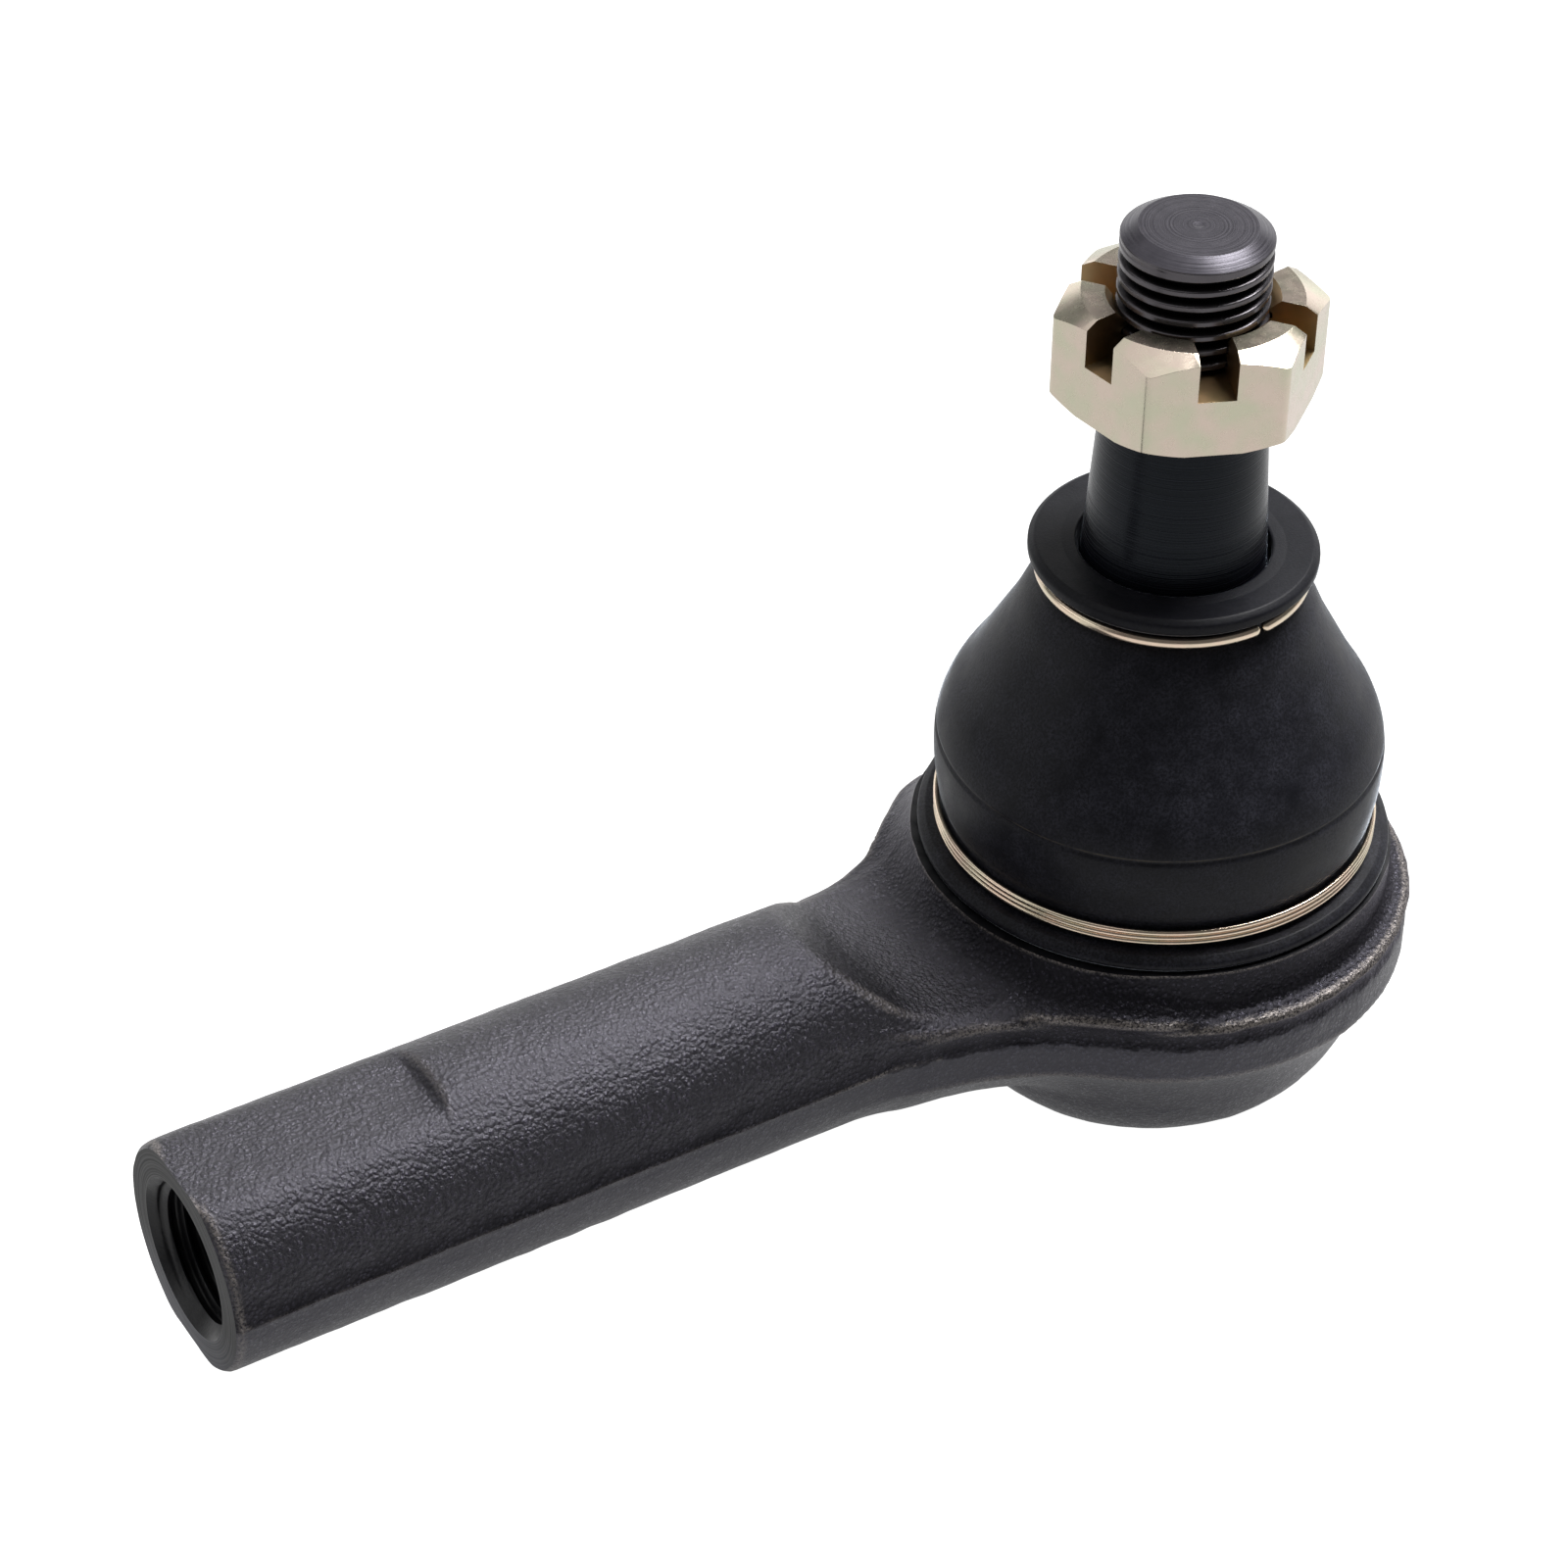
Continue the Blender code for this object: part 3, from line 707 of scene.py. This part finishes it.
def socket_tool(finishes):
    """All that turning takes off the socket: above the collar, round the spigot and inside it."""
    spigot_r, spigot_top, far = 18.4, 33.8, 29.0
    pocket_r, bore_r, bore_top, mouth_r = 10.4, 16.2, 32.6, 14.2
    corners = [
        (0.0, 3.2, 0), (pocket_r, 3.2, 0.5), (pocket_r, 5.6, 0.3), (11.3, 6.65, 0.3), (bore_r, 12.75, 1.0),
        (bore_r, bore_top, 0), (mouth_r, bore_top, 0.2), (mouth_r, spigot_top, 0.3),
        (spigot_r - 0.8, spigot_top, 0.2), (spigot_r, spigot_top - 0.8, 0.2), (spigot_r, COLLAR_Z, 0.3),
        (far, COLLAR_Z, 0), (far, COLLAR_Z + 20.0, 0), (0.0, COLLAR_Z + 20.0, 0),
    ]
    return turned("socket_tool", rounded(corners), finishes, segments=128)


def rough_skin(places):
    """The forging's surface made gently uneven, most round the trimmed rim and least at the base."""
    slope = slope_of(housing_field, places)[1]
    normal = slope / np.linalg.norm(slope, axis=1)[:, None]
    waves = 0.055 * soft_noise(places, 5.5, 11) + 0.040 * soft_noise(places, 2.1, 12)
    waves += 0.028 * soft_noise(places, 1.05, 13)
    rim = np.exp(-((places[:, 2] - 23.4) / 1.2) ** 2) * ramp(np.hypot(*places[:, :2].T), 23.0, 24.6)
    waves += rim * (0.12 * soft_noise(places, 2.6, 14) + 0.06 * soft_noise(places, 1.2, 15))
    calm = ramp(places[:, 2], 0.0, 1.5) * 0.8 + 0.2
    return places + normal * (waves * calm)[:, None]


def make_housing():
    """The forging with its rough skin, then sawn, drilled and turned."""
    low, high, cell = (SHANK_END_X - 2.4, -27.0, -1.0), (27.0, 27.0, 37.5), 0.445
    places, quads = surface_net(housing_field, low, high, cell)
    places = rough_skin(settle_on(housing_field, places, quads))
    forged, faced, bored = forged_finish(), faced_finish(), bored_finish()
    housing = make_object("housing_forging", places, quads.tolist(), [forged])
    far = 40.0
    block = box_solid("end_tool", (SHANK_END_X - 30.0, -far, -far), (SHANK_END_X, far, 2 * far), [faced])
    combine(housing, block)
    combine(housing, shank_bore_tool([bored]))
    combine(housing, socket_tool([bored]))
    mark_wear(housing)
    resharpen(housing, 38.0)
    mount(housing, "housing", "forged_black", "housing")


# Pieces inside the socket

def turned_loop(name, corners, finish):
    """A ring turned from a closed outline of (radius, height, fillet) corners."""
    return turned(name, closed(rounded(corners, loop=True)), [finish])


def make_seat(finish):
    """The moulded seat above the ball's middle."""
    low, high = BALL_Z + 0.9, BALL_Z + 7.5
    inner = [(r, z, 0.0) for r, z in sphere_arc(SEAT_R, BALL_Z, low, high, 16)]
    corners = [(INNER_R, low, 0.4), (INNER_R, high, 0.4)] + inner[::-1]
    mount(turned_loop("seat_shell", corners, finish), "housing", "seat_plastic", "upper_ball_seat")


def make_cup(finish):
    """The moulded cup under the ball, open at the bottom."""
    floor, hole_r, rim = 6.9, 4.5, BALL_Z - 0.6
    hole_z = BALL_Z - math.sqrt(SEAT_R ** 2 - hole_r ** 2)
    inner = [(r, z, 0.0) for r, z in sphere_arc(SEAT_R, BALL_Z, hole_z, rim, 22)]
    outer = [(hole_r, floor, 0.3), (11.0, floor, 0.5), (INNER_R, 13.0, 0.8), (INNER_R, rim, 0.4)]
    cup = turned_loop("cup_shell", outer + inner[::-1], finish)
    mount(cup, "pressure_cup", "seat_plastic", "pressure_cup")


def make_closing_ring():
    """The steel ring that holds the seat in."""
    bore_r, low, high = 12.2, BALL_Z + 7.8, 32.3
    corners = [
        (bore_r, low, 0.2), (INNER_R, low, 0.3), (INNER_R, high, 0.3), (bore_r + 0.8, high, 0.1),
        (bore_r, high - 0.8, 0.1),
    ]
    steel = plain_steel_finish("closing_steel", (0.30, 0.30, 0.31), 0.34)
    mount(turned_loop("closing_ring_turned", corners, steel), "housing", "spring_steel", "closing_ring")


def make_spring():
    """The conical spring that presses the cup onto the ball."""
    low, high = span("preload_spring")
    wire_r, turns, base_r, narrowing = 0.6, 2.2, 9.2, 3.6

    def spring_at(t):
        radius, angle = base_r - narrowing * t, math.tau * turns * t
        height = low.z + wire_r + (high.z - low.z - 2 * wire_r) * t
        return radius * math.cos(angle), radius * math.sin(angle), height

    steel = plain_steel_finish("spring_wire", (0.36, 0.35, 0.33), 0.3)
    spring = wire("spring_coil", spring_at, 160, wire_r, steel)
    mount(spring, "housing", "spring_steel", "preload_spring")


def wire(name, point_at, steps, radius, finish, flatness=1.0):
    """A wire through point_at(0) .. point_at(1), flattened towards the +Z axis, with domed ends."""
    sides, dome = 14, 4
    path = [Vector(point_at(index / steps)) for index in range(steps + 1)]
    rows = []
    for index, here in enumerate(path):
        ahead = (path[min(index + 1, steps)] - path[max(index - 1, 0)]).normalized()
        rows.append((here, ahead, 1.0))
    (start, leaving, _), (end, arriving, _) = rows[0], rows[-1]
    for part in range(1, dome + 1):
        turn = math.radians(90.0) * part / (dome + 0.5)
        rows.insert(0, (start - leaving * radius * math.sin(turn), leaving, math.cos(turn)))
        rows.append((end + arriving * radius * math.sin(turn), arriving, math.cos(turn)))
    vertices, faces = [], []
    for here, ahead, share in rows:
        up = ahead.cross(Vector((here.x, here.y, 0.0))).normalized()
        outward = up.cross(ahead) * flatness
        for side in range(sides):
            angle = math.tau * side / sides
            vertices.append(here + (outward * math.cos(angle) + up * math.sin(angle)) * radius * share)
    for row in range(len(rows) - 1):
        for side in range(sides):
            a, b = row * sides, (row + 1) * sides
            after = (side + 1) % sides
            faces.append((a + side, a + after, b + after, b + side))
    faces.append(tuple(reversed(range(sides))))
    faces.append(tuple(range((len(rows) - 1) * sides, len(rows) * sides)))
    return make_object(name, [tuple(v) for v in vertices], faces, [finish], 60.0)


# Ball stud

def taper_radius(z):
    """The stud's 1:8 taper."""
    return TAPER_R - (z - TAPER_Z) / 16.0


def make_stud():
    """Ball, neck, seal collar, taper, rolled thread and faced end, with the cotter hole through it."""
    segments = 120
    flat_r, seal_r, seal_z, relief_z = 4.0, 8.75, 52.0, 79.4
    taper_from, taper_to = 61.7, 78.6
    thread_low, thread_high = relief_z + 0.05, 95.0
    flat_z = BALL_Z - math.sqrt(BALL_R ** 2 - flat_r ** 2)
    neck_z = BALL_Z + math.sqrt(BALL_R ** 2 - NECK_R ** 2)
    lower = [(0.0, flat_z)] + sphere_arc(BALL_R, BALL_Z, flat_z, neck_z, 40)
    neck = [(NECK_R, neck_z + 0.4), (NECK_R, 42.0), (6.9, 45.0), (8.2, 49.5), (seal_r, seal_z)]
    lower += flowing(neck, 5)[1:]
    shoulder = [
        (seal_r, seal_z, 0), (seal_r, TAPER_Z, 0.1), (taper_radius(taper_from), taper_from, 0.1),
        (taper_radius(taper_to), taper_to, 0.25), (RELIEF_R, 79.1, 0.2), (RELIEF_R, relief_z, 0),
    ]
    lower += rounded(shoulder, steps=4)[1:]
    grid_angle, grid_z = thread_rows(thread_low, thread_high, segments)
    helix = thread_radius(grid_angle, grid_z, THREAD_ROOT_R, THREAD_R, THREAD_PHASE_Z)
    helix = THREAD_R - (THREAD_R - helix) * ramp(grid_z, thread_high, thread_high - 0.8)
    helix = join(helix, RELIEF_R + grid_z - relief_z, 0.10)
    end = [
        (THREAD_R, thread_high + 0.1, 0), (THREAD_R, STUD_TOP_Z - 0.95, 0.3), (5.35, STUD_TOP_Z, 0.06),
        (0.55, STUD_TOP_Z, 0.03), (0.0, STUD_TOP_Z - 0.10, 0),
    ]
    end = rows_of(rounded(end, steps=4), segments)
    vertices, faces = wrapped(*stacked(rows_of(lower, segments), (helix, grid_z), end))
    stud = make_object("stud_body", vertices, faces, [stud_finish(), stud_end_finish(), thread_finish()])
    for polygon in stud.data.polygons:
        height = polygon.center.z / MM
        if height > relief_z - 0.4:
            polygon.material_index = 1 if height > STUD_TOP_Z - 0.8 else 2
    reach, turn, hole_r, hole_z = 12.0, math.radians(-83.0), 1.6, 86.8
    hole = [(0.0, -reach), (hole_r, -reach), (hole_r, reach), (0.0, reach)]
    pin = turned("pin_tool", hole, [stud.data.materials[0]], 32)
    along = Vector((math.cos(turn), math.sin(turn), 0.0))
    pin.data.transform(along.to_track_quat("Z", "Y").to_matrix().to_4x4())
    pin.data.transform(Matrix.Translation((0.0, 0.0, hole_z * MM)))
    combine(stud, pin)
    resharpen(stud, 50.0)
    mount(stud, "ball_stud", "black_oxide_steel", "ball_stud")


# Castle nut

def nut_blank(plate):
    """The hexagon, chamfered at both ends by a turned envelope."""
    low, high = NUT_Z
    corner_r = NUT_FLATS / 2 / math.cos(math.radians(30.0))
    corners = []
    for index in range(6):
        angle = math.radians(NUT_TURN + 30.0 + 60.0 * index)
        corners.append((corner_r * math.cos(angle), corner_r * math.sin(angle), 0.9))
    nut = prism("nut_body", rounded(corners, loop=True), low, high, [plate])
    top_land, base_land, outer, past = 10.0, 11.3, corner_r + 0.5, 0.5
    slope = math.tan(math.radians(30.0))
    envelope = [
        (0.0, low - past), (base_land - past / slope, low - past),
        (outer, low + (outer - base_land) * slope), (outer, high - (outer - top_land) * slope),
        (top_land - past / slope, high + past), (0.0, high + past),
    ]
    combine(nut, turned("envelope_tool", envelope, [plate], 120), "INTERSECT")
    return nut


def nut_bore_tool(finish):
    """The nut's thread with a chamfer at each mouth."""
    low, high = NUT_Z
    mouth_r, past, segments = THREAD_R + 0.95, 0.5, 96
    grid_angle, grid_z = thread_rows(low - past, high + past, segments, 14)
    helix = thread_radius(grid_angle, grid_z, THREAD_ROOT_R + 0.22, THREAD_R + 0.2, THREAD_PHASE_Z)
    helix = np.maximum(helix, mouth_r - np.minimum(grid_z - low, high - grid_z))
    ends = rows_of([(0.0, low - past)], segments), rows_of([(0.0, high + past)], segments)
    vertices, faces = wrapped(*stacked(ends[0], (helix, grid_z), ends[1]))
    return make_object("bore_tool", vertices, faces, [finish])


def make_nut():
    """The castle nut: a slotted blank with broken edges, then its thread."""
    plate = zinc_finish("nut_zinc", (0.56, 0.50, 0.395), (0.61, 0.505, 0.43), (0.52, 0.51, 0.385), 0.26)
    # Slots and thread: duller zinc, painted darker brown as painted shade in these recesses.
    dull_shaded_zinc = zinc_finish("slot_zinc_shaded", (0.35, 0.245, 0.13), (0.40, 0.26, 0.14), (0.27, 0.205, 0.105), 0.40)
    nut = nut_blank(plate)
    low, high = (-20.0, -1.75, 84.8), (20.0, 1.75, NUT_Z[1] + 5.0)
    for index in range(3):
        combine(nut, box_solid("slot_tool", low, high, [dull_shaded_zinc], NUT_TURN + 60.0 * index))
    bevel = nut.modifiers.new("edges", "BEVEL")
    bevel.width = 0.12 * MM
    bevel.segments = 3
    bevel.limit_method = "ANGLE"
    bevel.angle_limit = math.radians(24.0)
    settle(nut)
    combine(nut, nut_bore_tool(dull_shaded_zinc))
    resharpen(nut, 30.0)
    nut.modifiers.new("even_normals", "WEIGHTED_NORMAL").keep_sharp = True
    settle(nut)
    mount(nut, "castle_nut", "yellow_zinc_nut", "castle_nut")


# Dust boot and its rings

def boot_outline():
    """Half of the boot's section: foot, creased wall and rolled lip, then back down the inside."""
    base, top = BOOT_Z[0] - 0.22, BOOT_Z[1]       # the foot is pressed nearer the collar than the CAD model's
    bore_r, seat_r, wall = 9.05, 18.7, 1.9
    foot = [
        (22.4, base, 0.3), (22.75, base + 0.4, 0.4), (22.75, base + 0.9, 0.6), (22.0, base + 1.45, 0.4),
        (20.5, base + 1.55, 0.2), (20.5, 33.5, 0.4), (20.9, 34.6, 0),
    ]
    body = [
        (20.9, 34.6), (21.4, 38.0), (21.35, 41.5), (20.35, 44.5), (18.5, 47.5), (16.75, 50.6), (15.1, 53.6),
        (13.7, 56.6), (12.6, 58.4),
    ]
    depth, width = 0.22, 0.16
    crease = [(r - depth * math.exp(-((z - CREASE_Z) / width) ** 2), z) for r, z in flowing(body, 16)]
    lip = [
        (12.6, 58.4, 0), (11.6, 59.1, 0.4), (11.6, 60.8, 0.25), (13.0, 61.05, 0.35), (13.52, 61.55, 0.5),
        (13.52, top - 0.45, 0.45), (12.9, top, 0.4), (10.4, top - 0.22, 0.8), (bore_r, top - 0.1, 0.25),
        (bore_r, 56.6, 0.6),
    ]
    inside = [(r - wall, z) for r, z in flowing(body[1:-1], 4)][::-1]
    seal = [(*inside[-1], 0.0), (19.0, 35.4, 0.4), (seat_r, 34.3, 0.3), (seat_r, base, 0.3), (22.4, base, 0)]
    outline = rounded(foot, steps=4)[:-1] + crease[:-1] + rounded(lip, steps=4)[1:] + inside
    return closed(outline + rounded(seal, steps=3)[1:-1])


def make_boot():
    """The rubber boot, a little out of round where its wall hangs free."""
    segments = 160
    angles = np.linspace(0.0, math.tau, segments + 1)
    radii, heights = rows_of(boot_outline(), segments)
    loose = ramp(heights, 35.0, 40.0) * ramp(heights, 60.0, 54.0)
    lean = 0.10 * np.cos(2 * angles - 0.6) + 0.07 * np.cos(3 * angles + 1.1) + 0.04 * np.cos(5 * angles)
    vertices, faces = wrapped(radii + loose * lean[None, :], heights)
    boot = make_object("boot_skin", vertices, faces, [rubber_finish()], 50.0)
    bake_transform(boot)
    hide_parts("dust_boot")


def make_upper_ring(plate):
    """An open ring of wire in the neck's groove."""
    opening, mean_r, wire_r = 7.0, 12.4, 0.6

    def upper_at(t):
        angle = math.radians(-85.0 + opening / 2 + (360.0 - opening) * t)
        return mean_r * math.cos(angle), mean_r * math.sin(angle), UPPER_RING_Z

    upper = wire("upper_ring_wire", upper_at, 120, wire_r, plate, 0.85)
    mount(upper, "boot_neck", "ring_wire", "boot_upper_ring")


def make_lower_ring(plate):
    """A fine wire coiled round the boot's foot."""
    turns, pitch, mean_r, wire_r = 2.6, 0.54, 21.0, 0.28

    def lower_at(t):
        angle = math.radians(150.0) + math.tau * turns * t
        return mean_r * math.cos(angle), mean_r * math.sin(angle), LOWER_RING_Z + pitch * turns * (t - 0.5)

    lower = wire("lower_ring_wire", lower_at, 400, wire_r, plate)
    mount(lower, "housing", "ring_wire", "boot_lower_ring")


# Studio

def make_world():
    """White to the camera and dim grey to everything else."""
    scene = bpy.context.scene
    scene.view_settings.view_transform = "Standard"
    world = bpy.data.worlds.new("studio")
    world.use_nodes = True
    backdrop = world.node_tree.nodes["Background"]
    ray = world.node_tree.nodes.new("ShaderNodeLightPath")
    level = world.node_tree.nodes.new("ShaderNodeMapRange")
    level.inputs["To Min"].default_value = 0.13
    level.inputs["To Max"].default_value = 1.0
    world.node_tree.links.new(ray.outputs["Is Camera Ray"], level.inputs["Value"])
    world.node_tree.links.new(level.outputs[0], backdrop.inputs["Strength"])
    backdrop.inputs["Color"].default_value = (1.0, 1.0, 1.0, 1.0)
    scene.world = world


def make_floor():
    """Pale paper that glows white to the camera, half as much in gloss and little in soft light."""
    paper = Finish("floor_paper", (0.25, 0.25, 0.25), 0.9, 0.0, Specular_IOR_Level=0.1)
    tooth = paper.noise(0.8, 2.0)
    ray = paper.add("LightPath").outputs
    seen = paper.math("MULTIPLY_ADD", ray["Is Camera Ray"], 0.8, 0.2)
    glow = paper.math("MULTIPLY_ADD", ray["Is Glossy Ray"], 0.30, seen)
    paper.shader.inputs["Emission Color"].default_value = (1.0, 1.0, 1.0, 1.0)
    paper.feed(Base_Color=paper.mix(tooth, (0.245, 0.245, 0.245), (0.255, 0.255, 0.255)),
               Emission_Strength=glow)
    half = 3000.0
    corners = [(-half, -half, 0.0), (half, -half, 0.0), (half, half, 0.0), (-half, half, 0.0)]
    floor = make_object("studio_floor", corners, [(0, 1, 2, 3)], [paper.material])


def add_softbox(name, direction, distance, size, power):
    """An area light that faces the object from a direction."""
    light = bpy.data.lights.new(name, "AREA")
    light.shape = "RECTANGLE"
    light.size = size[0] * MM
    light.size_y = size[1] * MM
    light.energy = power
    obj = bpy.data.objects.new(name, light)
    centre = Vector((-30.0, 0.0, 40.0))
    towards = Vector(direction).normalized()
    obj.location = (centre + towards * distance) * MM
    obj.rotation_euler = towards.to_track_quat("Z", "Y").to_euler()
    obj.visible_camera = False
    bpy.context.scene.collection.objects.link(obj)


def make_camera():
    """A long lens at the photograph's viewing angle."""
    aim = Vector((-30.3, 18.8, 33.5))
    heading, elevation, roll = math.radians(58.12), math.radians(37.87), math.radians(0.81)
    distance = 428.5
    forward = Vector((math.cos(heading) * math.cos(elevation), math.sin(heading) * math.cos(elevation),
                      -math.sin(elevation)))
    camera = bpy.data.cameras.new("camera")
    camera.sensor_width = 36.0
    camera.lens = 102.2
    camera.clip_start = 0.01
    obj = bpy.data.objects.new("camera", camera)
    place = Matrix.Translation((aim - forward * distance) * MM)
    level = forward.to_track_quat("-Z", "Y").to_matrix().to_4x4()
    obj.matrix_world = place @ level @ Matrix.Rotation(roll, 4, "Z")
    bpy.context.scene.collection.objects.link(obj)
    bpy.context.scene.camera = obj


make_camera()
make_world()
make_floor()
add_softbox("key_softbox", (0.43, 0.07, 0.88), 700.0, (330.0, 330.0), 10.0)
add_softbox("top_softbox", (-0.30, 0.30, 0.90), 700.0, (700.0, 700.0), 1.2)
add_softbox("back_softbox", (0.53, 0.85, 0.22), 800.0, (2600.0, 330.0), 4.2)
add_softbox("left_softbox", (-0.90, 0.35, 0.25), 700.0, (500.0, 250.0), 0.5)
make_housing()
seat_finish = moulded_finish("acetal_seat", (0.70, 0.68, 0.60))
make_seat(seat_finish)
make_cup(seat_finish)
make_closing_ring()
make_spring()
make_stud()
make_nut()
make_boot()
ring_plate = zinc_finish("ring_zinc", (0.76, 0.64, 0.50), (0.81, 0.62, 0.49), (0.67, 0.60, 0.45), 0.22)
make_upper_ring(ring_plate)
make_lower_ring(ring_plate)

bpy.context.view_layer.update()
